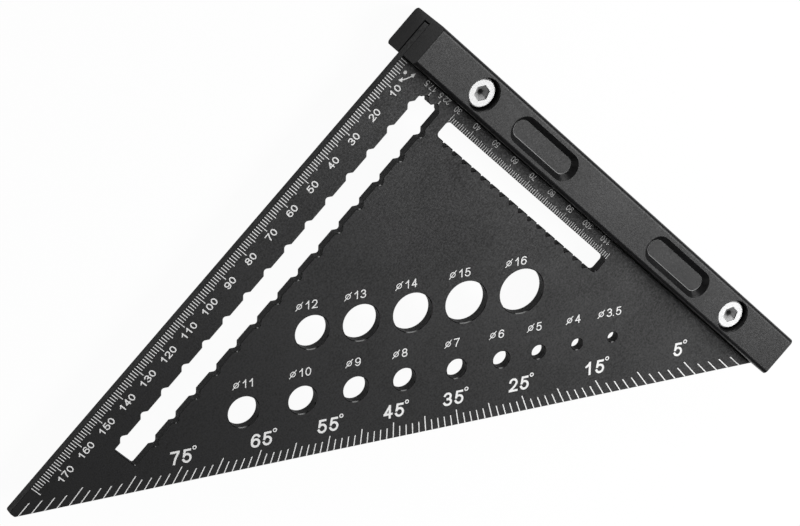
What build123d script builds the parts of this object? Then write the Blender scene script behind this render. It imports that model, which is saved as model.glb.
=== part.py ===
from build123d import *
import os

# Rafter square: a thin triangular scale plate held in the groove of a fence bar by two screws.
# X runs along the free leg from the fence to the tip, Y along the fence from the pivot, Z is up.
# The origin is at the middle of the outer box, on the plane that the fence stands on.

# Scale plate
plate_thickness = 3.2
leg_length = 193.2
tip_cut = 2.6
tip_radius = 0.9
plate_edge_break = 0.15

# Slot along the free leg, notched on both sides and at its end by the fence
leg_slot_middle = 20.0
leg_slot_width = 10.0
leg_slot_start = 5.9
leg_slot_tip_margin = 36.0
leg_slot_corner = 0.7
leg_notch_pitch = 10.0
end_notch_pitch = 5.0

# Straight slot along the fence, notched on the side away from it
fence_slot_near = 6.0
fence_slot_far = 12.0
fence_slot_start = 30.0
fence_slot_end = 115.4
fence_slot_corner = 1.5
fence_notch_pitch = 5.0

# Notches that hold a pencil point, a right-angled V with a rounded tip
notch_mouth = 3.5
notch_tip_radius = 1.0
notch_foot = 0.2

# Gauge holes, in two rows parallel to the long edge, counted from the middle of that edge
large_row_inset = 45.0
large_gauge_diameters = (12.0, 13.0, 14.0, 15.0, 16.0)
large_gauge_start = -30.0
large_gauge_web = 5.0
small_row_inset = 21.0
small_gauge_diameters = (11.0, 10.0, 9.0, 8.0, 7.0, 6.0, 5.0, 4.0, 3.5)
small_gauge_shares = (-0.279, -0.171, -0.072, 0.019, 0.118, 0.204, 0.276, 0.351, 0.421)

# Fence bar, one bar with a groove along it
fence_overhang = 1.1
fence_depth = 15.0
fence_back_wall = 1.9
jaw_height = 8.15
fence_edge_radius = 1.5
fence_end_break = 0.1
groove_slack = 0.5
groove_end_gap = 0.5
groove_mouth_break = 0.2

# Obround pockets in the fence top
pocket_from_end = 60.2
pocket_length = 32.0
pocket_width = 10.0
pocket_draft = 45.0
pocket_depth = 1.8
pocket_floor_radius = 0.4

# Clamping screws
screw_from_end = 28.0
screw_diameter = 6.0
screw_length = 12.0
head_diameter = 10.0
head_height = 4.0
head_edge_chamfer = 0.42
head_sink = 1.6
socket_across_flats = 5.0
socket_turns = (18.0, 23.0)
socket_depth = 2.2
socket_cone_depth = 0.9
counterbore_clearance = 0.65
counterbore_edge_break = 0.3
shank_clearance = 0.3
thread_clearance = 0.05
thread_run_out = 0.6
screw_point_chamfer = 0.6

# Overrun that carries every cut clear of the faces it goes through
overrun = 1.0

# Levels and places worked out from the sizes above
fence_length = leg_length + fence_overhang
groove_height = plate_thickness + groove_slack
groove_depth = fence_depth - fence_back_wall
tongue_depth = groove_depth - groove_end_gap
fence_height = 2 * jaw_height + groove_height
plate_top = jaw_height + groove_height
plate_bottom = plate_top - plate_thickness
tip_end = leg_length - tip_cut
leg_slot_end = tip_end - leg_slot_tip_margin
pivot_x = (fence_depth - tip_end) / 2
pivot_y = -fence_length / 2
head_top = fence_height - head_sink
head_seat = head_top - head_height
counterbore_radius = head_diameter / 2 + counterbore_clearance
screw_point = head_seat - screw_length
screw_middle = -fence_depth / 2
screw_stations = (screw_from_end, fence_length - screw_from_end)
pocket_stations = (pocket_from_end, fence_length - pocket_from_end)


def pivot_plane(level):
    """Plane at a height, with its origin over the corner that the scales are counted from."""
    return Plane(origin=(pivot_x, pivot_y, level))


def long_edge_plane(level):
    """Plane at a height, with X along the long edge and Y from that edge towards the pivot."""
    middle = leg_length / 2
    return Plane(origin=(pivot_x + middle, pivot_y + middle, level), x_dir=(-1, 1, 0), z_dir=(0, 0, 1))


def large_gauge_stations():
    """Places along the row of large gauge holes, which have equal webs between them."""
    stations = [large_gauge_start]
    for smaller, larger in zip(large_gauge_diameters, large_gauge_diameters[1:]):
        stations.append(stations[-1] + (smaller + larger) / 2 + large_gauge_web)
    return stations


def notch_places(slot_start, slot_end, slot_corner, first, pitch):
    """Places along a slot, a pitch apart, whose notches keep clear of the round corners of it."""
    clear = notch_mouth / 2 + slot_corner
    places = []
    place = first
    while place + clear < slot_end:
        if place - clear > slot_start:
            places.append(place)
        place += pitch
    return places


def pencil_notch():
    """Outline of one notch, with its mouth on X, its tip along Y and a low foot that overlaps the slot."""
    half = notch_mouth / 2
    with BuildSketch() as notch:
        with BuildLine():
            Polyline((-half - notch_foot, -notch_foot), (0, half), (half + notch_foot, -notch_foot), close=True)
        make_face()
        tip = notch.vertices().sort_by(Axis.Y)[-1]
        fillet(tip, radius=notch_tip_radius)
    return notch.sketch


def cut_notches(notch, places, turn):
    """Adds notches to the slot that is being drawn, turned so that their tips point into the plate."""
    with Locations(places):
        add(notch, rotation=turn)


large_gauges = list(zip(large_gauge_stations(), large_gauge_diameters))
small_gauges = [(leg_length * share, d) for share, d in zip(small_gauge_shares, small_gauge_diameters)]
leg_slot_half = leg_slot_width / 2
notch = pencil_notch()

os.makedirs("parts", exist_ok=True)

# Scale plate with its slots, gauge holes and screw holes
with BuildPart() as scale_plate:
    with BuildSketch(pivot_plane(plate_bottom)) as outline:
        with BuildLine():
            Polyline(
                (-tongue_depth, 0),
                (tip_end, 0),
                (tip_end, tip_cut),
                (0, leg_length),
                (-tongue_depth, leg_length),
                close=True,
            )
        make_face()
        tip_corners = outline.vertices().group_by(Axis.X)[-1]
        fillet(tip_corners, radius=tip_radius)
    extrude(amount=plate_thickness)
    rims = scale_plate.faces().filter_by(Axis.Z).edges()
    chamfer(rims, length=plate_edge_break)

    # Slot along the free leg, with notches every pitch on each side, half a pitch apart, and two at its end
    with BuildSketch(pivot_plane(plate_bottom - overrun)):
        with Locations(((leg_slot_start + leg_slot_end) / 2, leg_slot_middle)):
            RectangleRounded(leg_slot_end - leg_slot_start, leg_slot_width, leg_slot_corner)
        leg_slot_span = (leg_slot_start, leg_slot_end, leg_slot_corner)
        near_places = notch_places(*leg_slot_span, 0, leg_notch_pitch)
        far_places = notch_places(*leg_slot_span, leg_notch_pitch / 2, leg_notch_pitch)
        cut_notches(notch, [(place, leg_slot_middle - leg_slot_half) for place in near_places], 180)
        cut_notches(notch, [(place, leg_slot_middle + leg_slot_half) for place in far_places], 0)
        end_places = [leg_slot_middle + side * end_notch_pitch / 2 for side in (-1, 1)]
        cut_notches(notch, [(leg_slot_start, place) for place in end_places], 90)
    extrude(amount=plate_thickness + 2 * overrun, mode=Mode.SUBTRACT)

    # Slot along the fence, straight beside its scale and notched on the other side
    with BuildSketch(pivot_plane(plate_bottom - overrun)):
        fence_slot_width = fence_slot_far - fence_slot_near
        fence_slot_length = fence_slot_end - fence_slot_start
        with Locations(((fence_slot_near + fence_slot_far) / 2, (fence_slot_start + fence_slot_end) / 2)):
            RectangleRounded(fence_slot_width, fence_slot_length, fence_slot_corner)
        fence_slot_span = (fence_slot_start, fence_slot_end, fence_slot_corner)
        fence_places = notch_places(*fence_slot_span, fence_slot_start, fence_notch_pitch)
        cut_notches(notch, [(fence_slot_far, place) for place in fence_places], -90)
    extrude(amount=plate_thickness + 2 * overrun, mode=Mode.SUBTRACT)

    # Gauge holes
    with BuildSketch(long_edge_plane(plate_bottom - overrun)):
        for row, inset in ((large_gauges, large_row_inset), (small_gauges, small_row_inset)):
            for station, diameter in row:
                with Locations((station, inset)):
                    Circle(diameter / 2)
    extrude(amount=plate_thickness + 2 * overrun, mode=Mode.SUBTRACT)

    # Clearance holes for the clamping screws
    with BuildSketch(pivot_plane(plate_bottom - overrun)):
        with Locations([(screw_middle, station) for station in screw_stations]):
            Circle(screw_diameter / 2 + shank_clearance)
    extrude(amount=plate_thickness + 2 * overrun, mode=Mode.SUBTRACT)
scale_plate.part.label = "scale_plate"
export_step(scale_plate.part, "parts/scale_plate.step")

# Fence bar: a drawn section with a groove, then pockets and screw holes from the top
with BuildPart() as fence_bar:
    section_plane = Plane(origin=(pivot_x, pivot_y, 0), x_dir=(-1, 0, 0), z_dir=(0, 1, 0))
    groove_middle = jaw_height + groove_height / 2
    with BuildSketch(section_plane) as section:
        with Locations((fence_depth / 2, fence_height / 2)):
            RectangleRounded(fence_depth, fence_height, fence_edge_radius)
        with Locations((groove_depth / 2, groove_middle)):
            Rectangle(groove_depth, groove_height, mode=Mode.SUBTRACT)
        mouth_corners = section.vertices().sort_by_distance((0, groove_middle))[:2]
        chamfer(mouth_corners, length=groove_mouth_break)
    extrude(amount=fence_length)
    end_rims = fence_bar.faces().filter_by(Axis.Y).edges()
    chamfer(end_rims, length=fence_end_break)

    # Obround pockets with sloping sides
    with BuildSketch(pivot_plane(fence_height)):
        with Locations([(screw_middle, station) for station in pocket_stations]):
            SlotOverall(pocket_length, pocket_width, rotation=90)
    extrude(amount=-pocket_depth, taper=pocket_draft, mode=Mode.SUBTRACT)
    pocket_floors = fence_bar.faces().filter_by(Axis.Z).group_by(Axis.Z)[-2]
    fillet(pocket_floors.edges(), radius=pocket_floor_radius)

    # Counterbores, clearance holes through the upper jaw and blind threads in the lower jaw
    screw_places = [(pivot_x + screw_middle, pivot_y + station, fence_height) for station in screw_stations]
    with Locations([Location(place) for place in screw_places]):
        CounterBoreHole(
            radius=screw_diameter / 2 + shank_clearance,
            counter_bore_radius=counterbore_radius,
            counter_bore_depth=head_sink + head_height,
            depth=fence_height - jaw_height,
        )
    with Locations([(x, y, z - counterbore_edge_break) for x, y, z in screw_places]):
        Cone(
            bottom_radius=counterbore_radius,
            top_radius=counterbore_radius + counterbore_edge_break + overrun,
            height=counterbore_edge_break + overrun,
            align=(Align.CENTER, Align.CENTER, Align.MIN),
            mode=Mode.SUBTRACT,
        )
    with BuildSketch(pivot_plane(screw_point - thread_run_out)):
        with Locations([(screw_middle, station) for station in screw_stations]):
            Circle(screw_diameter / 2 + thread_clearance)
    extrude(amount=jaw_height + overrun - screw_point + thread_run_out, mode=Mode.SUBTRACT)
fence_bar.part.label = "fence_bar"
export_step(fence_bar.part, "parts/fence_bar.step")


def build_screw(name, station, socket_turn):
    """Low-head socket screw, standing point down in the fence at a place along it."""
    axis_x = pivot_x + screw_middle
    axis_y = pivot_y + station
    with BuildPart() as screw:
        with BuildSketch(Plane(origin=(axis_x, axis_y, screw_point))):
            Circle(screw_diameter / 2)
        extrude(amount=screw_length + head_height / 2)
        point_rim = screw.edges().group_by(Axis.Z)[0]
        chamfer(point_rim, length=screw_point_chamfer)
        with BuildSketch(Plane(origin=(axis_x, axis_y, head_seat))):
            Circle(head_diameter / 2)
        extrude(amount=head_height)
        head_rim = screw.edges().group_by(Axis.Z)[-1]
        chamfer(head_rim, length=head_edge_chamfer)
        with BuildSketch(Plane(origin=(axis_x, axis_y, head_top))):
            RegularPolygon(socket_across_flats / 2, side_count=6, major_radius=False, rotation=socket_turn)
        extrude(amount=-socket_depth, mode=Mode.SUBTRACT)
        with Locations((axis_x, axis_y, head_top - socket_depth)):
            Cone(
                bottom_radius=0,
                top_radius=socket_across_flats / 2,
                height=socket_cone_depth,
                align=(Align.CENTER, Align.CENTER, Align.MAX),
                mode=Mode.SUBTRACT,
            )
    screw.part.label = name
    export_step(screw.part, f"parts/{name}.step")
    return screw


pivot_end_screw = build_screw("pivot_end_screw", screw_stations[0], socket_turns[0])
far_end_screw = build_screw("far_end_screw", screw_stations[1], socket_turns[1])
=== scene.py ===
# %% [markdown]
# # A rafter square, from frame to finish
# A rafter square is a carpenter's layout tool: a thin triangular plate with scales, held in the groove of a
# thick fence bar that hooks over the edge of a board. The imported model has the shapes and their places.
# Blender adds what the solids lack: the finish of each surface, a few small forms such as broken rims, and
# every line and number on the plate.
# The frame is loaded first and never moved, so all that follows is measured from it.

# %% Load the frame
import math

import bmesh
import bpy
from mathutils import Matrix, Vector
from mathutils.geometry import delaunay_2d_cdt


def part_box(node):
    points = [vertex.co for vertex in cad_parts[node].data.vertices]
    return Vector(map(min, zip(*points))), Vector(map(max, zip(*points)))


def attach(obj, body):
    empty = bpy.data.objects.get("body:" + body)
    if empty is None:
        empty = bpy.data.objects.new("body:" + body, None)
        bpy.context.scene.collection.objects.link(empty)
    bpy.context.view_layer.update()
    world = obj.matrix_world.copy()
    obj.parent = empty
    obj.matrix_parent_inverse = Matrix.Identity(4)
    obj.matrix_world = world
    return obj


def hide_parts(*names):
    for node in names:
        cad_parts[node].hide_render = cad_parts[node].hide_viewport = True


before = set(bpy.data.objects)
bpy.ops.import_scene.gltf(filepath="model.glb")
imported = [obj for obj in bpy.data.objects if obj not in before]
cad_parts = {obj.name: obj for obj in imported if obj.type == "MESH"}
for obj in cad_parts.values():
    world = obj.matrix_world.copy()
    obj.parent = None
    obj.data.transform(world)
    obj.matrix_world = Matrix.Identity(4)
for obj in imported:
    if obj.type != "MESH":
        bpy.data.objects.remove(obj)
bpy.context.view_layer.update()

# %% [markdown]
# ## Where things are counted from
# Every scale on the tool is counted from one corner, where the fence's working face meets the free leg.
# The frame gives that corner: the fence's face in X, the plate's edge in Y and the plate's top in Z.
# X then runs along the free leg and Y along the fence. A small helper gives a place on the plate's top with
# its own turn about Z, so that a scale or a number can be drawn flat and then put down in one step.

# %% Pivot corner and plate frame
mm = 0.001
plate_low, plate_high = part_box("scale_plate")
fence_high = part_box("fence_bar")[1]
pivot_corner = Vector((fence_high.x, plate_low.y, plate_high.z))
leg_length = plate_high.y - plate_low.y
edge_break = 0.15 * mm


def on_plate(turn=0.0, along_leg=0.0, along_fence=0.0):
    """Matrix that puts a flat drawing on the plate's top, turned by degrees about Z."""
    place = pivot_corner + Vector((along_leg, along_fence, 0.0))
    return Matrix.Translation(place) @ Matrix.Rotation(math.radians(turn), 4, "Z")


print("pivot corner:", [round(c, 5) for c in pivot_corner], "leg:", round(leg_length, 5))

# %% [markdown]
# ## Node helpers
# Materials and Geometry Nodes trees are both node trees, so three helpers serve both: one adds a node with
# its settings, one feeds sockets with links or plain values, and one does a single step of arithmetic. A
# fourth starts a material. They keep the cells below short.

# %% Helpers for node trees
def add_node(tree, kind, **settings):
    """A new node of a kind, with its settings."""
    node = tree.nodes.new(kind)
    for key, value in settings.items():
        setattr(node, key, value)
    return node


def feed(tree, node, **values):
    """Feeds sockets, written in small letters with _ for a space, with links or plain values."""
    for key, value in values.items():
        name = key.replace("_", " ").lower()
        socket = next(s for s in node.inputs if s.name.lower() == name and s.enabled)
        if isinstance(value, bpy.types.NodeSocket):
            tree.links.new(value, socket)
        else:
            socket.default_value = value
    return node.outputs[0]


def reckon(tree, operation, first, second=0.0):
    """The result of one Math node."""
    node = add_node(tree, "ShaderNodeMath", operation=operation)
    for socket, value in zip(node.inputs, (first, second)):
        if isinstance(value, bpy.types.NodeSocket):
            tree.links.new(value, socket)
        else:
            socket.default_value = value
    return node.outputs[0]


def new_material(name):
    """A material with its tree and its shader."""
    material = bpy.data.materials.new(name)
    material.use_nodes = True
    return material, material.node_tree, material.node_tree.nodes["Principled BSDF"]


# %% [markdown]
# ## Black anodised aluminium
# The plate and the fence are aluminium with a dyed black oxide skin. It is almost black by itself, and the
# grey that the eye sees is the soft studio light mirrored in a satin surface. So the colour stays very dark
# and the gloss does the work. The metal is blasted before it is dyed, which leaves a grain that sparkles:
# a fine noise drives gloss, colour and a very low bump together, and a larger noise shifts colour and gloss
# a little, as real skins do. How strongly the skin mirrors is one number for the whole piece, so it is set
# on the shader's own socket. Where a tool has rubbed the skin smooth it is as black, but it shines, so the
# same function makes a third finish with far less roughness and hardly any bump.

# %% Anodised finish
def anodised(name, tone, roughness, grain_size, grain_depth, mirror_share=0.29):
    """Satin black oxide skin with a blasted grain, between two roughnesses."""
    material, tree, shader = new_material(name)
    place = add_node(tree, "ShaderNodeTexCoord").outputs["Object"]
    grain = add_node(tree, "ShaderNodeTexNoise")
    grain_value = feed(tree, grain, vector=place, scale=1 / grain_size, detail=4.0, roughness=0.65)
    cloud_size = 18 * mm
    cloud = add_node(tree, "ShaderNodeTexNoise")
    cloud_value = feed(tree, cloud, vector=place, scale=1 / cloud_size, detail=4.0, roughness=0.55)
    grain_share, cloud_share = 0.8, 0.2
    grain_part = reckon(tree, "MULTIPLY", grain_value, grain_share)
    cloud_part = reckon(tree, "MULTIPLY", cloud_value, cloud_share)
    both = reckon(tree, "ADD", grain_part, cloud_part)
    dark_share, pale_share = 0.35, 2.2
    colours = add_node(tree, "ShaderNodeValToRGB")
    dark_end, pale_end = colours.color_ramp.elements
    dark_end.position, pale_end.position = 0.35, 0.7
    dark_end.color = (*[dark_share * part for part in tone], 1.0)
    pale_end.color = (*[pale_share * part for part in tone], 1.0)
    tree.links.new(both, colours.inputs["Fac"])
    tree.links.new(colours.outputs["Color"], shader.inputs["Base Color"])
    gloss = add_node(tree, "ShaderNodeMapRange")
    feed(tree, gloss, value=both, from_min=0.35, from_max=0.65, to_min=roughness[1], to_max=roughness[0])
    tree.links.new(gloss.outputs["Result"], shader.inputs["Roughness"])
    bump = add_node(tree, "ShaderNodeBump")
    feed(tree, bump, strength=1.0, distance=grain_depth, height=grain_value)
    tree.links.new(bump.outputs["Normal"], shader.inputs["Normal"])
    shader.inputs["Specular IOR Level"].default_value = mirror_share
    return material


plate_finish = anodised(
    "black_anodised_plate",
    tone=(0.01, 0.01, 0.0105),
    roughness=(0.36, 0.66),
    grain_size=0.65 * mm,
    grain_depth=0.035 * mm,
)
fence_finish = anodised(
    "black_anodised_fence",
    tone=(0.008, 0.008, 0.0083),
    roughness=(0.25, 0.41),
    grain_size=0.6 * mm,
    grain_depth=0.02 * mm,
    mirror_share=0.2,
)
rubbed_finish = anodised(
    "black_anodised_rubbed",
    tone=(0.007, 0.007, 0.0073),
    roughness=(0.12, 0.2),
    grain_size=0.6 * mm,
    grain_depth=0.002 * mm,
    mirror_share=0.5,
)
print("anodised:", plate_finish.name, fence_finish.name, rubbed_finish.name)

# %% [markdown]
# ## Bright screws
# The two screws are plated steel, turned on a lathe, so their heads have faint rings round the axis.
# A Wave texture in ring mode draws such rings about its own origin, and counts 20 radians to a unit. A
# Mapping node moves that origin to the screw's axis, which the frame gives, so each screw has a material of
# its own made by one function. Dull plating also scatters light, so the shader is only about half metal.
# The steel's colour darkens with its depth below the top of the head: painted shade in the socket.

# %% Plated steel, turned about each screw's axis
def turned_steel(name, node):
    """Bright plated steel with turning marks about the axis of a screw."""
    low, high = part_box(node)
    axis = (low + high) / 2
    ring_pitch = 0.25 * mm
    ring_depth = 0.004 * mm
    material, tree, shader = new_material(name)
    place = add_node(tree, "ShaderNodeTexCoord").outputs["Object"]
    centred = add_node(tree, "ShaderNodeMapping", vector_type="POINT")
    feed(tree, centred, vector=place, location=(-axis.x, -axis.y, 0.0))
    rings = add_node(tree, "ShaderNodeTexWave", wave_type="RINGS", rings_direction="Z")
    wave_radians = 20
    ring_scale = math.tau / wave_radians / ring_pitch
    feed(tree, rings, vector=centred.outputs["Vector"], scale=ring_scale, distortion=1.2, detail=2.0)
    cloud_size = 0.6 * mm
    cloud = add_node(tree, "ShaderNodeTexNoise")
    cloud_value = feed(tree, cloud, vector=place, scale=1 / cloud_size, detail=4.0, roughness=0.6)
    dull_steel, pale_steel = (0.4, 0.4, 0.41, 1.0), (0.62, 0.62, 0.61, 1.0)
    colours = add_node(tree, "ShaderNodeValToRGB")
    colours.color_ramp.elements[0].color = dull_steel
    colours.color_ramp.elements[1].color = pale_steel
    tree.links.new(cloud_value, colours.inputs["Fac"])
    split = add_node(tree, "ShaderNodeSeparateXYZ")
    tree.links.new(place, split.inputs["Vector"])
    depth = add_node(tree, "ShaderNodeMapRange")
    # Painted shade: the base colour darkens with depth below the top of the head, down into the socket.
    shade_reach, shaded_share = 1.6 * mm, 0.15
    feed(tree, depth, value=split.outputs["Z"], from_min=high.z - shade_reach, from_max=high.z)
    feed(tree, depth, to_min=shaded_share, to_max=1.0)
    shaded_steel = add_node(tree, "ShaderNodeVectorMath", operation="SCALE")
    tree.links.new(colours.outputs["Color"], shaded_steel.inputs[0])
    tree.links.new(depth.outputs["Result"], shaded_steel.inputs["Scale"])
    tree.links.new(shaded_steel.outputs["Vector"], shader.inputs["Base Color"])
    gloss = add_node(tree, "ShaderNodeMapRange")
    feed(tree, gloss, value=cloud_value, from_min=0.3, from_max=0.7, to_min=0.44, to_max=0.56)
    tree.links.new(gloss.outputs["Result"], shader.inputs["Roughness"])
    metal_share = 0.55
    shader.inputs["Metallic"].default_value = metal_share
    bump = add_node(tree, "ShaderNodeBump")
    feed(tree, bump, strength=0.3, distance=ring_depth, height=rings.outputs["Fac"])
    tree.links.new(bump.outputs["Normal"], shader.inputs["Normal"])
    return material


screw_finishes = {
    node: turned_steel(f"turned_steel_{node}", node) for node in ("pivot_end_screw", "far_end_screw")
}
print("steel:", sorted(m.name for m in screw_finishes.values()))

# %% [markdown]
# ## White marks
# Lines and numbers are burnt into the black skin by a laser and show as matt white, a little uneven.
# A picture on the plate could hold them, but it blurs close by. So they are thin slabs, sunk by half of
# their height and proud by the other half, which stay sharp in every view. Their white is broken by a fine
# noise.

# %% White of the marks
def marked_white():
    """Matt white of laser marks, with a fine speckle."""
    material, tree, shader = new_material("white_marks")
    place = add_node(tree, "ShaderNodeTexCoord").outputs["Object"]
    speckle_size = 0.12 * mm
    speckle = add_node(tree, "ShaderNodeTexNoise")
    speckle_value = feed(tree, speckle, vector=place, scale=1 / speckle_size, detail=2.0)
    colours = add_node(tree, "ShaderNodeValToRGB")
    dim_end, clear_end = colours.color_ramp.elements
    dim_end.position, clear_end.position = 0.3, 0.65
    dim_end.color = (0.74, 0.74, 0.74, 1.0)
    clear_end.color = (0.92, 0.92, 0.91, 1.0)
    tree.links.new(speckle_value, colours.inputs["Fac"])
    tree.links.new(colours.outputs["Color"], shader.inputs["Base Color"])
    shader.inputs["Roughness"].default_value = 0.75
    return material


mark_finish = marked_white()
mark_height = 0.04 * mm
print("marks:", mark_finish.name, "stand proud by:", mark_height / 2)

# %% [markdown]
# ## Broken edges
# No machined edge is knife sharp. After milling, the rims of slots and holes are broken by a few tenths of a
# millimetre. That thin slope has the rubbed black: it draws a dark line along one side of each opening, and
# a light one where it looks to a lamp. The solids leave it out, because hundreds of notch edges would make
# them heavy. A copy of the plate gets it instead: its loose triangles are merged and flat neighbours become
# one face. One helper makes such a copy, and one keeps it as the piece that stands for its node. There the
# Weighted Normal modifier keeps the large faces flat and lets only the small ones look round.

# %% A copy of a node, and a piece that stands for it
def merged_copy(node):
    """A node's mesh with its triangles joined and flat neighbours made one face."""
    solid = bmesh.new()
    solid.from_mesh(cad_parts[node].data)
    weld_within, flat_within = 0.001 * mm, math.radians(0.1)
    bmesh.ops.remove_doubles(solid, verts=solid.verts[:], dist=weld_within)
    bmesh.ops.dissolve_limit(solid, angle_limit=flat_within, verts=solid.verts[:], edges=solid.edges[:])
    return solid


def stand_for(node, solid, materials, crease_degrees=40):
    """Keeps a reworked copy as a piece that stands for its node."""
    crease = math.radians(crease_degrees)
    for face in solid.faces:
        face.smooth = True
    for edge in solid.edges:
        edge.smooth = edge.calc_face_angle(0.0) < crease
    open_edges = [edge for edge in solid.edges if len(edge.link_faces) != 2]
    mesh = bpy.data.meshes.new(node + "_dressed")
    solid.to_mesh(mesh)
    print(node, "faces:", len(mesh.polygons), "open edges:", len(open_edges), "volume:", solid.calc_volume())
    solid.free()
    for material in materials:
        mesh.materials.append(material)
    piece = bpy.data.objects.new(node + "_dressed", mesh)
    bpy.context.scene.collection.objects.link(piece)
    shading = piece.modifiers.new("flat_faces_stay_flat", "WEIGHTED_NORMAL")
    shading.keep_sharp = True
    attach(piece, "root")
    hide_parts(node)


# %% [markdown]
# The solids have one pencil notch for both slots. Beside the fence the real notches are narrower and end in
# a sharper tip. On the copy the corners of those notches are moved: the two at the mouth come closer, and
# the round of the tip shrinks about a middle that lies deeper in the plate.

# %% Narrower notches beside the fence
def narrow_notches(solid):
    """Moves the corners of the notches beside the fence to a narrower mouth and a sharper tip."""
    slot_side, first_notch, last_notch, notch_pitch = 12.0 * mm, 35.0 * mm, 110.0 * mm, 5.0 * mm
    solid_mouth, solid_tip = 3.5 * mm, 1.0 * mm
    mouth, tip = 2.8 * mm, 0.3 * mm
    tip_middle_share = math.sqrt(2)
    solid_middle = solid_mouth / 2 - tip_middle_share * solid_tip
    middle = mouth / 2 - tip_middle_share * tip
    on_edge = 0.01 * mm
    moved_corners = 0
    for corner in solid.verts:
        depth = corner.co.x - pivot_corner.x - slot_side
        along = corner.co.y - pivot_corner.y
        notch = first_notch + notch_pitch * round((along - first_notch) / notch_pitch)
        aside = along - notch
        if notch < first_notch - on_edge or notch > last_notch + on_edge:
            continue
        if not -on_edge < depth < solid_mouth / 2 or abs(aside) > solid_mouth / 2 + on_edge:
            continue
        at_mouth = depth < on_edge
        share = mouth / solid_mouth if at_mouth else tip / solid_tip
        corner.co.y = pivot_corner.y + notch + share * aside
        if not at_mouth:
            corner.co.x = pivot_corner.x + slot_side + middle + share * (depth - solid_middle)
        moved_corners += 1
    print("notch corners moved:", moved_corners)


# %% [markdown]
# A Bevel modifier could find the rims by their angle alone, but it would take the plate's upright corners
# too. So they are picked by a rule, a level face that meets a wall, and one bevel runs along them. It hands
# back the slopes it made, and these get the rubbed black.

# %% Plate with broken rims
def sharp_rims(solid):
    """Edges where a level face meets an upright wall."""
    nearly_upright, nearly_level = math.radians(80), 0.9999
    rims = []
    for edge in solid.edges:
        level = any(abs(face.normal.z) > nearly_level for face in edge.link_faces)
        if level and edge.calc_face_angle_signed(0.0) > nearly_upright:
            rims.append(edge)
    return rims


rim_break = 0.28 * mm
rubbed_index = 1
plate_solid = merged_copy("scale_plate")
narrow_notches(plate_solid)
slopes = bmesh.ops.bevel(
    plate_solid,
    geom=sharp_rims(plate_solid),
    offset=rim_break,
    offset_type="OFFSET",
    segments=1,
    profile=0.5,
    affect="EDGES",
    clamp_overlap=False,
)
for face in slopes["faces"]:
    face.material_index = rubbed_index
stand_for("scale_plate", plate_solid, [plate_finish, rubbed_finish])
print("slopes:", len(slopes["faces"]))

# %% [markdown]
# ## Rubbed rounds in the fence's pockets
# The cutter that sank the pockets has rubbed the small round at the foot of their walls smooth. It gets the
# rubbed black too, and where it looks towards the lamp it draws one fine line of light. The faces of that
# round are picked out by their height above the pocket's floor.

# %% Fence with rubbed pocket rounds
pocket_depth = 1.8 * mm
pocket_floor = fence_high.z - pocket_depth
round_rise = 0.12 * mm
off_floor = 0.01 * round_rise
fence_solid = merged_copy("fence_bar")
rubbed_faces = 0
for face in fence_solid.faces:
    above_floor = face.calc_center_median().z - pocket_floor
    if off_floor < above_floor < round_rise:
        face.material_index = rubbed_index
        rubbed_faces += 1
stand_for("fence_bar", fence_solid, [fence_finish, rubbed_finish])
print("rubbed faces:", rubbed_faces)

# %% [markdown]
# ## Punched sockets
# A hexagon socket is struck with a six-sided punch that has a blunt point, so its floor is six slopes that
# run down to a small pit, and they catch the light one by one. The solids have a plain drilled floor. So a
# copy of each screw loses that floor, one face closes the opening, and this face is lifted, set in once
# with a slope, and drawn down to a point.

# %% Screws with punched sockets
def punched(node):
    """A copy of a screw whose socket ends in six slopes and a pit."""
    low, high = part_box(node)
    axis = (low + high) / 2
    drilled_from, drilled_to, socket_radius = 2.1 * mm, 3.3 * mm, 2.95 * mm
    wall_depth, slope_depth, pit_depth = 0.35 * mm, 1.2 * mm, 2.8 * mm
    pit_share = 0.4
    solid = merged_copy(node)
    drilled = []
    for face in solid.faces:
        middle = face.calc_center_median()
        near_axis = (middle - axis).xy.length < socket_radius
        if near_axis and drilled_from < high.z - middle.z < drilled_to:
            drilled.append(face)
    bmesh.ops.delete(solid, geom=drilled, context="FACES")
    rim = [edge for edge in solid.edges if edge.is_boundary]
    floor = bmesh.ops.contextual_create(solid, geom=rim)["faces"][0]
    for corner in floor.verts:
        corner.co.z = high.z - wall_depth
    pit = bmesh.ops.extrude_discrete_faces(solid, faces=[floor])["faces"][0]
    for corner in pit.verts:
        corner.co.xy = axis.xy + pit_share * (corner.co.xy - axis.xy)
        corner.co.z = high.z - slope_depth
    point = bmesh.ops.poke(solid, faces=[pit])["verts"][0]
    point.co.z = high.z - pit_depth
    bmesh.ops.recalc_face_normals(solid, faces=solid.faces[:])
    return solid


slope_crease = 18
for node, material in screw_finishes.items():
    stand_for(node, punched(node), [material], slope_crease)

# %% [markdown]
# ## Scale lines that repeat along a straight edge
# The free leg has a line for every millimetre, and so has the edge of the slot beside the fence. They differ
# only in count and in length: short ones, longer at each five, longest at each ten. That is one rule for
# hundreds of lines, so a Geometry Nodes tree makes them: points along a line, a unit box on each point, and
# a scale worked out from the number that the point stands for.

# %% Tree of a straight scale
def new_tree(name, inputs):
    """An empty Geometry Nodes tree with named inputs, and the nodes at its two ends."""
    tree = bpy.data.node_groups.new(name, "GeometryNodeTree")
    for label, kind in inputs.items():
        tree.interface.new_socket(label, in_out="INPUT", socket_type=kind)
    tree.interface.new_socket("Geometry", in_out="OUTPUT", socket_type="NodeSocketGeometry")
    return tree, add_node(tree, "NodeGroupInput"), add_node(tree, "NodeGroupOutput")


def unit_box(tree, shift):
    """A box of unit size, moved so that one side or end of it lies on the origin."""
    box = add_node(tree, "GeometryNodeMeshCube")
    box.inputs["Size"].default_value = (1.0, 1.0, 1.0)
    shifted = add_node(tree, "GeometryNodeTransform")
    return feed(tree, shifted, geometry=box.outputs["Mesh"], translation=shift)


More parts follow.
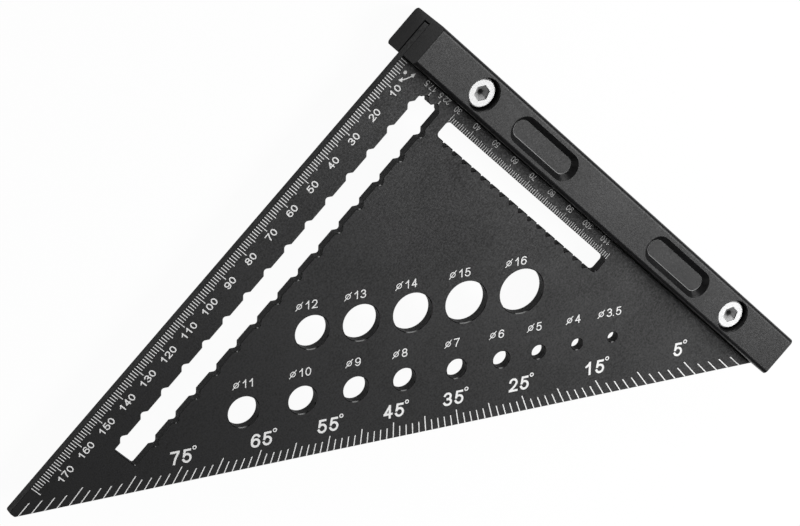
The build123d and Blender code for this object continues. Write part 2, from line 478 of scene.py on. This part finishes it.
def close_tree(tree, ends, geometry, material):
    """Ends a tree: a plain mesh with one material."""
    painted = add_node(tree, "GeometryNodeSetMaterial")
    tree.links.new(feed(tree, painted, geometry=geometry, material=material), ends.inputs["Geometry"])


def at_each(tree, number, step):
    """One where a number is a multiple of the step, else nought."""
    left_over = reckon(tree, "MODULO", number, step)
    nearly_none = 0.5
    return reckon(tree, "LESS_THAN", left_over, nearly_none)


def straight_scale_tree():
    """Lines along X that rise along Y, with lengths by the number of each."""
    sizes = ("Pitch", "Short", "Middle", "Long", "Line width", "Line height")
    inputs = {"First number": "NodeSocketInt", "Count": "NodeSocketInt"}
    inputs.update({label: "NodeSocketFloat" for label in sizes})
    tree, given, ends = new_tree("straight_scale", inputs)
    size = given.outputs
    index = add_node(tree, "GeometryNodeInputIndex").outputs["Index"]
    number = reckon(tree, "ADD", index, size["First number"])
    first_place = reckon(tree, "MULTIPLY", size["First number"], size["Pitch"])
    start = feed(tree, add_node(tree, "ShaderNodeCombineXYZ"), x=first_place)
    step = feed(tree, add_node(tree, "ShaderNodeCombineXYZ"), x=size["Pitch"])
    points = add_node(tree, "GeometryNodeMeshLine", mode="OFFSET")
    feed(tree, points, count=size["Count"], start_location=start, offset=step)
    more_at_fives = reckon(tree, "SUBTRACT", size["Middle"], size["Short"])
    more_at_tens = reckon(tree, "SUBTRACT", size["Long"], size["Middle"])
    at_fives = reckon(tree, "MULTIPLY", at_each(tree, number, step=5), more_at_fives)
    at_tens = reckon(tree, "MULTIPLY", at_each(tree, number, step=10), more_at_tens)
    length = reckon(tree, "ADD", size["Short"], reckon(tree, "ADD", at_fives, at_tens))
    stretch = add_node(tree, "ShaderNodeCombineXYZ")
    stretch = feed(tree, stretch, x=size["Line width"], y=length, z=size["Line height"])
    lines = add_node(tree, "GeometryNodeInstanceOnPoints")
    feed(tree, lines, points=points.outputs["Mesh"], instance=unit_box(tree, (0.0, 0.5, 0.0)), scale=stretch)
    whole = feed(tree, add_node(tree, "GeometryNodeRealizeInstances"), geometry=lines.outputs["Instances"])
    close_tree(tree, ends, whole, mark_finish)
    return tree


straight_scale = straight_scale_tree()
print("tree:", straight_scale.name, "nodes:", len(straight_scale.nodes))

# %% [markdown]
# A tree only describes lines. This helper runs it on an empty mesh, with the sizes set by each input's
# identifier, keeps the evaluated result as a plain mesh, and drops the modifier with its carrier. The mesh
# is then put in place, and the piece rides on the one body that the tool has.

# %% Growing a tree into a plain piece
def keep_piece(name, mesh):
    """A finished piece of marks: plain mesh, at the origin, riding on the tool."""
    piece = bpy.data.objects.new(name, mesh)
    bpy.context.scene.collection.objects.link(piece)
    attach(piece, "root")
    print(name, "faces:", len(mesh.polygons))


def grow(name, tree, sizes, place):
    """Runs a tree with these sizes and keeps what it makes as a plain piece."""
    carrier = bpy.data.objects.new(name + "_carrier", bpy.data.meshes.new(name + "_carrier"))
    bpy.context.scene.collection.objects.link(carrier)
    modifier = carrier.modifiers.new(tree.name, "NODES")
    modifier.node_group = tree
    for item in tree.interface.items_tree:
        if item.in_out == "INPUT":
            modifier[item.identifier] = sizes[item.name]
    graph = bpy.context.evaluated_depsgraph_get()
    mesh = bpy.data.meshes.new_from_object(carrier.evaluated_get(graph), depsgraph=graph)
    mesh.name = name
    mesh.transform(place)
    bpy.data.objects.remove(carrier)
    keep_piece(name, mesh)


# %% [markdown]
# The tree now serves both scales. The free leg has 180 lines that start where the small break of its edge
# ends. Beside the fence slot the lines run from 30 to 115, shorter and thinner, and a quarter turn lays them
# along the fence.

# %% Lines of the free leg and of the fence slot
grow(
    "leg_scale_lines",
    straight_scale,
    {
        "First number": 1,
        "Count": 180,
        "Pitch": 1.0 * mm,
        "Short": 2.85 * mm,
        "Middle": 3.6 * mm,
        "Long": 4.35 * mm,
        "Line width": 0.26 * mm,
        "Line height": mark_height,
    },
    on_plate(along_fence=edge_break),
)
fence_slot_edge = 6.0 * mm
grow(
    "fence_scale_lines",
    straight_scale,
    {
        "First number": 30,
        "Count": 86,
        "Pitch": 1.0 * mm,
        "Short": 1.8 * mm,
        "Middle": 2.2 * mm,
        "Long": 2.7 * mm,
        "Line width": 0.17 * mm,
        "Line height": mark_height,
    },
    on_plate(turn=90, along_leg=fence_slot_edge),
)

# %% [markdown]
# ## Degree lines that fan out from the pivot
# Along the long edge the lines show the angle that the tool is swung by. Each lies on a ray from the pivot
# corner, ends on the long edge, and starts a fixed depth inside it, so both ends are parallel to that edge.
# A box set on a point can't have such slanted ends. So the tree makes unit boxes that carry their degree as
# an attribute, and a Set Position node then works out every corner from that degree.

# %% Tree of the degree scale
def degree_scale_tree():
    """Lines on rays from the origin, between the long edge and a depth inside it."""
    sizes = ("Edge", "Short", "Long", "Line width", "Line height")
    inputs = {"First degree": "NodeSocketInt", "Count": "NodeSocketInt"}
    inputs.update({label: "NodeSocketFloat" for label in sizes})
    tree, given, ends = new_tree("degree_scale", inputs)
    size = given.outputs
    points = add_node(tree, "GeometryNodeMeshLine", mode="OFFSET")
    feed(tree, points, count=size["Count"], offset=(0.0, 0.0, 0.0))
    boxes = add_node(tree, "GeometryNodeInstanceOnPoints")
    feed(tree, boxes, points=points.outputs["Mesh"], instance=unit_box(tree, (0.5, 0.0, 0.0)))
    index = add_node(tree, "GeometryNodeInputIndex").outputs["Index"]
    degree = reckon(tree, "ADD", index, size["First degree"])
    named = add_node(tree, "GeometryNodeStoreNamedAttribute", data_type="FLOAT", domain="INSTANCE")
    feed(tree, named, geometry=boxes.outputs["Instances"], name="degree", value=degree)
    whole = feed(tree, add_node(tree, "GeometryNodeRealizeInstances"), geometry=named.outputs["Geometry"])

    own_degree = add_node(tree, "GeometryNodeInputNamedAttribute", data_type="FLOAT")
    own_degree.inputs["Name"].default_value = "degree"
    angle = reckon(tree, "RADIANS", own_degree.outputs["Attribute"])
    along_fence = reckon(tree, "COSINE", angle)
    along_leg = reckon(tree, "SINE", angle)
    slant = reckon(tree, "ADD", along_fence, along_leg)
    corner = add_node(tree, "ShaderNodeSeparateXYZ")
    tree.links.new(add_node(tree, "GeometryNodeInputPosition").outputs["Position"], corner.inputs["Vector"])
    more_at_fives = reckon(tree, "SUBTRACT", size["Long"], size["Short"])
    at_fives = at_each(tree, own_degree.outputs["Attribute"], step=5)
    longer = reckon(tree, "MULTIPLY", at_fives, more_at_fives)
    depth = reckon(tree, "MULTIPLY", reckon(tree, "ADD", size["Short"], longer), math.sqrt(2))
    inside = reckon(tree, "MULTIPLY", depth, reckon(tree, "SUBTRACT", 1.0, corner.outputs["X"]))
    reach = reckon(tree, "DIVIDE", reckon(tree, "SUBTRACT", size["Edge"], inside), slant)
    aside = reckon(tree, "DIVIDE", reckon(tree, "MULTIPLY", corner.outputs["Y"], size["Line width"]), slant)
    place = feed(
        tree,
        add_node(tree, "ShaderNodeCombineXYZ"),
        x=reckon(tree, "SUBTRACT", reckon(tree, "MULTIPLY", reach, along_leg), aside),
        y=reckon(tree, "ADD", reckon(tree, "MULTIPLY", reach, along_fence), aside),
        z=reckon(tree, "MULTIPLY", corner.outputs["Z"], size["Line height"]),
    )
    fanned = feed(tree, add_node(tree, "GeometryNodeSetPosition"), geometry=whole, position=place)
    close_tree(tree, ends, fanned, mark_finish)
    return tree


grow(
    "degree_lines",
    degree_scale_tree(),
    {
        "First degree": 1,
        "Count": 89,
        "Edge": leg_length - edge_break * math.sqrt(2),
        "Short": 3.9 * mm,
        "Long": 5.6 * mm,
        "Line width": 0.36 * mm,
        "Line height": mark_height,
    },
    on_plate(),
)

# %% [markdown]
# ## Numbers drawn with a pen
# The numbers on such tools are plain upright figures of even weight. Blender's own font has other forms, so
# the figures are drawn as a draughtsman would: each is a few pen lines in a unit square, straight or round.
# A pen line becomes a strip of quads with mitred corners and square ends, and the strips are then joined
# into one flat shape with a thickness.

# %% Pen lines of the ten figures
def arc(middle_x, middle_y, radius_x, radius_y, start, end, steps=14):
    """Points round part of an oval, between two angles in degrees."""
    turns = [math.radians(start + (end - start) * step / steps) for step in range(steps + 1)]
    return [(middle_x + radius_x * math.cos(a), middle_y + radius_y * math.sin(a)) for a in turns]


def oval(middle_x, middle_y, radius_x, radius_y):
    """Points all round an oval, ending where they start."""
    return arc(middle_x, middle_y, radius_x, radius_y, 0, 360, steps=24)


figure_shares = {
    "0": [oval(0.5, 0.5, 0.5, 0.5)],
    "1": [[(0.1, 0.69), (0.33, 0.78), (0.5, 0.9)], [(0.62, 1.0), (0.62, 0.0)]],
    "2": [arc(0.5, 0.71, 0.47, 0.29, 168, -38) + [(0.58, 0.3), (0.12, 0.07)], [(0.0, 0.0), (1.0, 0.0)]],
    "3": [arc(0.48, 0.75, 0.43, 0.25, 160, -90), arc(0.48, 0.26, 0.5, 0.26, 90, -160)],
    "4": [[(0.66, 0.93), (0.09, 0.37)], [(0.0, 0.29), (1.0, 0.29)], [(0.74, 1.0), (0.74, 0.0)]],
    "5": [[(0.9, 1.0), (0.19, 1.0), (0.08, 0.5)], arc(0.47, 0.32, 0.51, 0.33, 124, -160)],
    "6": [oval(0.5, 0.31, 0.5, 0.31), arc(0.56, 0.5, 0.56, 0.5, 42, 180) + [(0.0, 0.32)]],
    "7": [[(0.0, 1.0), (1.0, 1.0)], [(0.93, 0.9), (0.62, 0.52), (0.44, 0.22), (0.38, 0.0)]],
    "8": [oval(0.5, 0.76, 0.43, 0.24), oval(0.5, 0.26, 0.5, 0.26)],
    "9": [oval(0.5, 0.69, 0.5, 0.31), arc(0.44, 0.5, 0.56, 0.5, -138, 0) + [(1.0, 0.68)]],
    ".": [[(0.0, 0.0), (0.01, 0.0)]],
}
print("figures:", "".join(figure_shares))

# %% [markdown]
# A figure is as wide as a fixed share of its height, and all figures step on by the same amount, as on a
# ruler. The pen's own width is taken off the square first, so a bolder pen keeps the same outer height.

# %% From pen lines to strips of quads
def pen_strip(points, pen):
    """Quads along a pen line, with mitred corners, and square ends where it isn't closed."""
    path = [Vector(p) for p in points]
    same_place = 1e-6
    closed = (path[0] - path[-1]).length < same_place
    if closed:
        path.pop()
    else:
        path[0] = path[0] + (path[0] - path[1]).normalized() * pen / 2
        path[-1] = path[-1] + (path[-1] - path[-2]).normalized() * pen / 2
    sides = []
    for k, point in enumerate(path):
        before = point - path[k - 1] if closed or k > 0 else path[1] - path[0]
        after = path[(k + 1) % len(path)] - point if closed or k < len(path) - 1 else before
        before, after = before.normalized(), after.normalized()
        across = Vector((-before.y - after.y, before.x + after.x)) / (1 + before.dot(after))
        sides.append((point + across * pen / 2, point - across * pen / 2))
    pairs = zip(sides, sides[1:] + sides[:1]) if closed else zip(sides, sides[1:])
    return [(a[0], a[1], b[1], b[0]) for a, b in pairs]


def number_strips(text, height, pen, step_share, figure_width_share=0.67):
    """Quads of a number whose left end is on the origin, in millimetres, and its width."""
    width = figure_width_share * height
    point_width_share = 0.5
    quads = []
    left = 0.0
    for letter in text:
        for line in figure_shares[letter]:
            inset = pen / 2
            path = [(left + inset + x * (width - pen), inset + y * (height - pen)) for x, y in line]
            quads += pen_strip(path, pen)
        left += step_share * height * (point_width_share if letter == "." else 1.0)
    return quads, left - (step_share - figure_width_share) * height


def moved(quads, right, up, turn=0.0):
    """Quads turned about the origin by degrees, then moved."""
    spin = Matrix.Rotation(math.radians(turn), 2)
    return [tuple(spin @ corner + Vector((right, up)) for corner in quad) for quad in quads]


# %% [markdown]
# The strips of a number overlap. Booleans could join them one by one, but a constrained Delaunay
# triangulation does it in one step: it splits the strips where they cross and keeps what lies inside any of
# them. One extrusion then gives this flat shape its lower side and its walls, so the slab is closed.

# %% From strips to one closed slab
def marks(name, shapes, place):
    """One piece from overlapping flat shapes in millimetres: their union, as a thin closed slab."""
    corners = []
    faces = []
    for shape in shapes:
        faces.append(list(range(len(corners), len(corners) + len(shape))))
        corners.extend(shape)
    inside_only, same_place = 1, 1e-4
    points, _, parts, _, _, origins = delaunay_2d_cdt(corners, [], faces, inside_only, same_place)
    slab = bmesh.new()
    tops = [slab.verts.new((p.x * mm, p.y * mm, mark_height / 2)) for p in points]
    for part, sources in zip(parts, origins):
        if sources:
            slab.faces.new([tops[k] for k in part])
    loose = [v for v in slab.verts if not v.link_faces]
    bmesh.ops.delete(slab, geom=loose, context="VERTS")
    made = bmesh.ops.extrude_face_region(slab, geom=slab.faces[:])
    lowered = [v for v in made["geom"] if isinstance(v, bmesh.types.BMVert)]
    bmesh.ops.translate(slab, verts=lowered, vec=(0.0, 0.0, -mark_height))
    bmesh.ops.recalc_face_normals(slab, faces=slab.faces[:])
    mesh = bpy.data.meshes.new(name)
    slab.to_mesh(mesh)
    slab.free()
    mesh.transform(place)
    mesh.materials.append(mark_finish)
    keep_piece(name, mesh)


# %% [markdown]
# ## Numbers of the two straight scales
# On the free leg the numbers stand beside the tens, tops towards the edge. Beside the fence slot they are
# smaller and stand on the fence's side, with tops towards the slot. Two more numbers there, 17.5 and 22.5,
# have a line of their own: each points at a notch in the end of the leg slot.

# %% Leg and fence numbers
def centred_number(text, height, pen, step_share, right, up):
    """Quads of a number with its middle at a place along the baseline."""
    quads, width = number_strips(text, height, pen, step_share)
    return moved(quads, right - width / 2, up)


leg_figures = {"height": 2.8, "pen": 0.41, "step_share": 0.785}
leg_baseline = 8.0
leg_numbers = []
for tens in range(10, 171, 10):
    leg_numbers += centred_number(str(tens), **leg_figures, right=-tens, up=-leg_baseline)
marks("leg_scale_numbers", leg_numbers, on_plate(turn=180))

fence_figures = {"height": 2.0, "pen": 0.22, "step_share": 0.76}
fence_baseline = 0.5
pointer_foot, pointer_top, pointer_pen = 3.1, 4.0, 0.28
fence_numbers = []
for tens in range(30, 111, 10):
    fence_numbers += centred_number(str(tens), **fence_figures, right=-tens, up=fence_baseline)
for text, middle, line in (("17.5", 15.9, 17.5), ("22.5", 23.1, 22.5)):
    fence_numbers += centred_number(text, **fence_figures, right=-middle, up=fence_baseline)
    fence_numbers += pen_strip([(-line, pointer_foot), (-line, pointer_top)], pointer_pen)
marks("fence_scale_numbers", fence_numbers, on_plate(turn=-90))

# %% [markdown]
# ## Numbers along the long edge
# Bold degree numbers follow the long edge, each with a small ring for the degree sign. They and the numbers
# of the gauge holes read along that edge, so they share one frame: X along the edge from the tip to the
# fence, Y from the edge towards the pivot. The rows aren't quite parallel to the edge on the real tool, so
# a row is given by its height at both ends.

# %% Degree numbers
long_edge = on_plate(turn=135, along_leg=leg_length / 2, along_fence=leg_length / 2)


def row_height(station, first, last):
    """Height of a row at a station, between its (station, height) at both ends."""
    share = (station - first[0]) / (last[0] - first[0])
    return first[1] + share * (last[1] - first[1])


degree_figures = {"height": 5.0, "pen": 0.79, "step_share": 0.84}
ring_radius, ring_pen, ring_gap = 0.58, 0.36, 0.95
degree_ring = pen_strip(oval(0.0, 0.0, ring_radius, ring_radius), ring_pen)
degree_row = ((-75.9, 6.85), (107.1, 8.65))
degree_stations = {75: -75.9, 65: -47.6, 55: -23.8, 45: 0.0, 35: 21.9, 25: 46.3, 15: 74.9, 5: 107.1}
degree_numbers = []
for degree, station in degree_stations.items():
    height = row_height(station, *degree_row)
    figures, width = number_strips(str(degree), **degree_figures)
    degree_numbers += moved(figures, station - width / 2, height)
    degree_numbers += moved(degree_ring, station + width / 2 + ring_gap, height + degree_figures["height"])
marks("degree_scale_numbers", degree_numbers, long_edge)

# %% [markdown]
# Two rows of lighter numbers give the size of the gauge holes, each behind a ring with a stroke through it,
# the usual sign for a diameter. Ring and stroke are made once with the same pen, and every number takes them
# along.

# %% Hole numbers
hole_figures = {"height": 3.05, "pen": 0.37, "step_share": 0.77}
sign_x, sign_y, sign_radius, sign_pen = 1.4, 1.5, 0.84, 0.3
stroke_from, stroke_to, stroke_pen = (0.2, 0.2), (2.6, 2.8), 0.28
number_shift = 3.5
hole_sign = pen_strip(oval(sign_x, sign_y, sign_radius, sign_radius), sign_pen)
hole_stroke = pen_strip([stroke_from, stroke_to], stroke_pen)
large_row = {"12": -36.2, "13": -18.9, "14": -0.6, "15": 18.8, "16": 39.4}
small_row = {"11": -58.1, "10": -38.1, "9": -18.0, "8": -1.1, "7": 17.9}
small_row.update({"6": 34.4, "5": 48.5, "4": 63.1, "3.5": 75.1})
hole_numbers = []
for row, first, last in (
    (large_row, (-36.2, 53.6), (39.4, 54.7)),
    (small_row, (-58.1, 29.7), (75.1, 29.0)),
):
    for text, station in row.items():
        height = row_height(station, first, last)
        hole_numbers += moved(hole_sign, station, height)
        hole_numbers += moved(hole_stroke, station, height)
        hole_numbers += moved(number_strips(text, **hole_figures)[0], station + number_shift, height)
marks("hole_size_numbers", hole_numbers, long_edge)

# %% [markdown]
# ## Sign at the pivot
# The corner that the tool is swung about has a sign beside it: a dot for the pivot, and an arc with a head
# at each end for the swing. The same pen draws it, about the corner itself, between the first number and
# the fence.

# %% Pivot sign
def arrow_head(tip, turn, size):
    """A triangle whose point lies on the tip and looks along X before it is turned by degrees."""
    half_width_share = 0.55
    half_width = half_width_share * size
    triangle = (Vector((0.0, 0.0)), Vector((-size, half_width)), Vector((-size, -half_width)))
    return moved([triangle], tip[0], tip[1], turn)


swing_radius, swing_pen = 8.3, 0.42
swing_from, swing_to = 41, 73
head_size, head_reach, head_turn = 1.5, 6, 93


def on_swing(turn):
    """Place on the circle of the swing, at an angle in degrees."""
    return swing_radius * math.cos(math.radians(turn)), swing_radius * math.sin(math.radians(turn))


sign = pen_strip(arc(0.0, 0.0, swing_radius, swing_radius, swing_from, swing_to), swing_pen)
sign += arrow_head(on_swing(swing_from - head_reach), swing_from - head_turn, head_size)
sign += arrow_head(on_swing(swing_to + head_reach), swing_to + head_turn, head_size)
dot_x, dot_y, dot_radius = 3.5, 4.9, 0.62
dot = oval(dot_x, dot_y, dot_radius, dot_radius)[:-1]
sign.append(tuple(Vector(corner) for corner in dot))
marks("pivot_sign", sign, on_plate())

# %% [markdown]
# ## Camera
# The photograph was taken from above, over the free leg, with a long lens and turned on its side, so that
# the fence runs down to the right. Distance, angles and field of view were measured from the tool's own
# scales, which are a ruler in the picture.

# %% Camera
camera_azimuth, camera_elevation, camera_roll = -2.188, 53.668, 132.491
camera_distance = 1279.04 * mm
camera_target = Vector((-36.998 * mm, -45.136 * mm, plate_high.z))
camera_field = 11.526
nearest_seen, farthest_seen = 0.01, 200.0
camera_data = bpy.data.cameras.new("camera")
camera_data.sensor_fit = "HORIZONTAL"
camera_data.angle = math.radians(camera_field)
camera_data.clip_start = nearest_seen
camera_data.clip_end = farthest_seen
camera = bpy.data.objects.new("camera", camera_data)
bpy.context.scene.collection.objects.link(camera)
camera.matrix_world = (
    Matrix.Translation(camera_target)
    @ Matrix.Rotation(math.radians(camera_azimuth), 4, "Z")
    @ Matrix.Rotation(math.radians(90 - camera_elevation), 4, "X")
    @ Matrix.Rotation(math.radians(camera_roll), 4, "Z")
    @ Matrix.Translation((0.0, 0.0, camera_distance))
)
bpy.context.scene.camera = camera
bpy.context.scene.view_settings.view_transform = "Standard"
print("camera at:", [round(c, 3) for c in camera.matrix_world.translation])

# %% [markdown]
# ## Floor and background
# The tool lies on a plain white floor. The floor's own white is lit and keeps the tool's soft shadow. For
# rays from the camera most of it is an even white of strength one, so the background is white with no more
# light on the tool. Mirror rays see a share of that white too, as on a white table in a dim room: the floor
# near the tool shows in its walls, and towards the edge of the table both that share and the lit white fade
# out to black.

# %% Floor
floor_drop = 0.05 * mm
floor_reach = 30.0
floor_mesh = bpy.data.meshes.new("floor")
floor_turns = ((-1, -1), (1, -1), (1, 1), (-1, 1))
floor_corners = [(x * floor_reach, y * floor_reach, -floor_drop) for x, y in floor_turns]
floor_mesh.from_pydata(floor_corners, [], [(0, 1, 2, 3)])
floor = bpy.data.objects.new("floor", floor_mesh)
bpy.context.scene.collection.objects.link(floor)
floor_finish, floor_tree, floor_shader = new_material("floor_white")
floor_shader.inputs["Roughness"].default_value = 0.9
floor_shader.inputs["Specular IOR Level"].default_value = 0.0
even_white = add_node(floor_tree, "ShaderNodeEmission")
even_white.inputs["Strength"].default_value = 1.0
rays = add_node(floor_tree, "ShaderNodeLightPath").outputs
mirrored = reckon(floor_tree, "MAXIMUM", rays["Is Glossy Ray"], rays["Is Transmission Ray"])
table_near, table_edge = 0.15, 0.5
spot = add_node(floor_tree, "ShaderNodeTexCoord").outputs["Object"]
away = add_node(floor_tree, "ShaderNodeVectorMath", operation="LENGTH")
floor_tree.links.new(spot, away.inputs[0])
off_table = add_node(floor_tree, "ShaderNodeMapRange", interpolation_type="SMOOTHSTEP")
feed(floor_tree, off_table, value=away.outputs["Value"], from_min=table_near, from_max=table_edge)
off_table = off_table.outputs["Result"]
lit_white = 0.9
faded = reckon(floor_tree, "MULTIPLY", reckon(floor_tree, "MULTIPLY", mirrored, off_table), -lit_white)
floor_tree.links.new(reckon(floor_tree, "ADD", lit_white, faded), floor_shader.inputs["Base Color"])
seen_share, mirrored_share = 0.96, 0.38
on_table = reckon(floor_tree, "MULTIPLY", reckon(floor_tree, "SUBTRACT", 1.0, off_table), mirrored_share)
even_share = reckon(
    floor_tree,
    "MAXIMUM",
    reckon(floor_tree, "MULTIPLY", rays["Is Camera Ray"], seen_share),
    reckon(floor_tree, "MULTIPLY", mirrored, on_table),
)
floor_mix = add_node(floor_tree, "ShaderNodeMixShader")
floor_tree.links.new(even_share, floor_mix.inputs["Fac"])
floor_tree.links.new(floor_shader.outputs["BSDF"], floor_mix.inputs[1])
floor_tree.links.new(even_white.outputs["Emission"], floor_mix.inputs[2])
floor_tree.links.new(floor_mix.outputs["Shader"], floor_tree.nodes["Material Output"].inputs["Surface"])
floor_mesh.materials.append(floor_finish)
print("floor:", floor_finish.name, "white to:", table_near, "black from:", table_edge)

# %% [markdown]
# ## Studio light
# Black satin shows the lamps more than its own colour. A level face mirrors what stands opposite the camera,
# so one soft panel hangs level there, and wholly on the fence's side: the plate is light by the fence and
# falls off to the tip, and the fence throws a soft shadow on the plate beside it. Slopes that look away from
# the panel stay dark. A low panel stands behind the fence and shows as a line of light in the rims that look
# its way. Two far dimmer panels on the other sides let the black show its form from there too. A panel is
# given by its middle, its size, where it looks and how bright it appears. Its power follows from its area.

# %% Lamps
def soft_panel(name, middle, size, look, brightness):
    """A panel lamp of some width and height that looks along a direction, with the brightness it shows."""
    lamp = bpy.data.lights.new(name, "AREA")
    lamp.shape = "RECTANGLE"
    lamp.size, lamp.size_y = size
    lamp.energy = brightness * math.pi * lamp.size * lamp.size_y
    stand = bpy.data.objects.new(name, lamp)
    stand.matrix_world = Matrix.Translation(middle) @ look.to_track_quat("-Z", "Y").to_matrix().to_4x4()
    bpy.context.scene.collection.objects.link(stand)
    print(name, "power:", round(lamp.energy, 2))


main_middle, main_size, main_brightness = Vector((-0.352, 0.425, 0.6)), (0.495, 0.55), 9.2
straight_down = Vector((0.0, 0.0, -1.0))
soft_panel("main_panel", main_middle, main_size, straight_down, main_brightness)
wide, low = (1.0, 0.7), (0.9, 0.3)
for name, middle, size, brightness in (
    ("front_panel", Vector((0.0, -1.0, 0.5)), wide, 0.35),
    ("tip_panel", Vector((1.0, -0.35, 0.5)), wide, 0.5),
    ("back_panel", Vector((-1.0, -0.35, 0.5)), low, 5.0),
):
    soft_panel(name, middle, size, -middle, brightness)

# %% [markdown]
# The room gives a little light from all sides, and even less of it shows in mirrors, where it would wash out
# the black. Where the camera looks past the floor it sees an even white. One Background node does all three,
# because a Light Path node tells the kinds of rays apart.

# %% World
world = bpy.data.worlds.new("studio")
world.use_nodes = True
bpy.context.scene.world = world
room_tree = world.node_tree
room = room_tree.nodes["Background"]
room.inputs["Color"].default_value = (1.0, 1.0, 1.0, 1.0)
room_light, room_mirrored, room_seen = 0.08, 0.03, 1.0
room_rays = add_node(room_tree, "ShaderNodeLightPath").outputs
room_mirror = reckon(room_tree, "MAXIMUM", room_rays["Is Glossy Ray"], room_rays["Is Transmission Ray"])
for_mirrors = add_node(room_tree, "ShaderNodeMapRange")
feed(room_tree, for_mirrors, value=room_mirror, to_min=room_light, to_max=room_mirrored)
for_all = add_node(room_tree, "ShaderNodeMapRange")
feed(room_tree, for_all, value=room_rays["Is Camera Ray"], to_min=for_mirrors.outputs["Result"])
feed(room_tree, for_all, to_max=room_seen)
room_tree.links.new(for_all.outputs["Result"], room.inputs["Strength"])
print("room:", room_light, "in mirrors:", room_mirrored, "seen:", room_seen)
